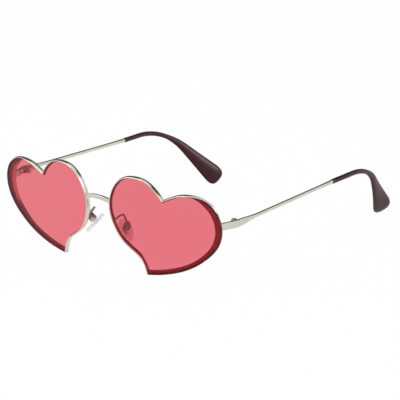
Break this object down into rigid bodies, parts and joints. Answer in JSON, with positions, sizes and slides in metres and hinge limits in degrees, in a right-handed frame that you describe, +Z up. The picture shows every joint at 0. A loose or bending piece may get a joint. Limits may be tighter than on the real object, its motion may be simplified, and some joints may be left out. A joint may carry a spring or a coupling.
{
  "type": "heart shaped sunglasses",
  "caption": "Metal sunglasses with pink heart lenses, a thin silver bead, wire temples with dark moulded tips, and clear nose pads on wire arms.",
  "frame": {"origin": "bottom centre of the bounding box, on the surface the glasses stand on with their temples open", "axes": "+X to the wearer's left, +Y from the lenses back along the temples, +Z up"},
  "size_m": [0.1346, 0.1648, 0.0472],
  "materials": {
    "frame_metal": "polished pale champagne plating",
    "screw_steel": "plain turned steel",
    "lens_tint": "polished pink-red tint",
    "tip_plastic": "dark burgundy-brown, softly polished",
    "pad_silicone": "clear, faintly milky"
  },
  "bodies": {
    "front": {"bridge": "frame_metal", "left_rim": "frame_metal", "left_lens": "lens_tint", "left_end_piece": "frame_metal", "left_hinge_front_leaf": "frame_metal", "left_hinge_screw": "screw_steel", "left_pad_arm": "frame_metal", "left_pad_box": "frame_metal", "left_pad_screw": "screw_steel", "right_rim": "frame_metal", "right_lens": "lens_tint", "right_end_piece": "frame_metal", "right_hinge_front_leaf": "frame_metal", "right_hinge_screw": "screw_steel", "right_pad_arm": "frame_metal", "right_pad_box": "frame_metal", "right_pad_screw": "screw_steel"},
    "left_side_arm": {"left_temple": "frame_metal", "left_temple_tip": "tip_plastic", "left_hinge_temple_leaf": "frame_metal"},
    "right_side_arm": {"right_temple": "frame_metal", "right_temple_tip": "tip_plastic", "right_hinge_temple_leaf": "frame_metal"},
    "left_rocking_pad": {"left_nose_pad": "pad_silicone", "left_pad_core": "screw_steel"},
    "right_rocking_pad": {"right_nose_pad": "pad_silicone", "right_pad_core": "screw_steel"}
  },
  "joints": [
    {"name": "left_fold", "type": "hinge", "parent": "front", "child": "left_side_arm", "pos_m": [0.06364, -0.05988, 0.02965], "axis": [0, -0.056, 0.9984], "range_deg": [0, 90]},
    {"name": "right_fold", "type": "hinge", "parent": "front", "child": "right_side_arm", "pos_m": [-0.06364, -0.05999, 0.03165], "axis": [0, 0.056, -0.9984], "range_deg": [0, 84]},
    {"name": "left_pad_rock", "type": "hinge", "parent": "front", "child": "left_rocking_pad", "pos_m": [0.01066, -0.07204, 0.01968], "axis": [0.4067, 0.9121, 0.0512], "range_deg": [-8, 8]},
    {"name": "right_pad_rock", "type": "hinge", "parent": "front", "child": "right_rocking_pad", "pos_m": [-0.01066, -0.07204, 0.01968], "axis": [-0.4067, 0.9121, 0.0512], "range_deg": [-8, 8]}
  ]
}
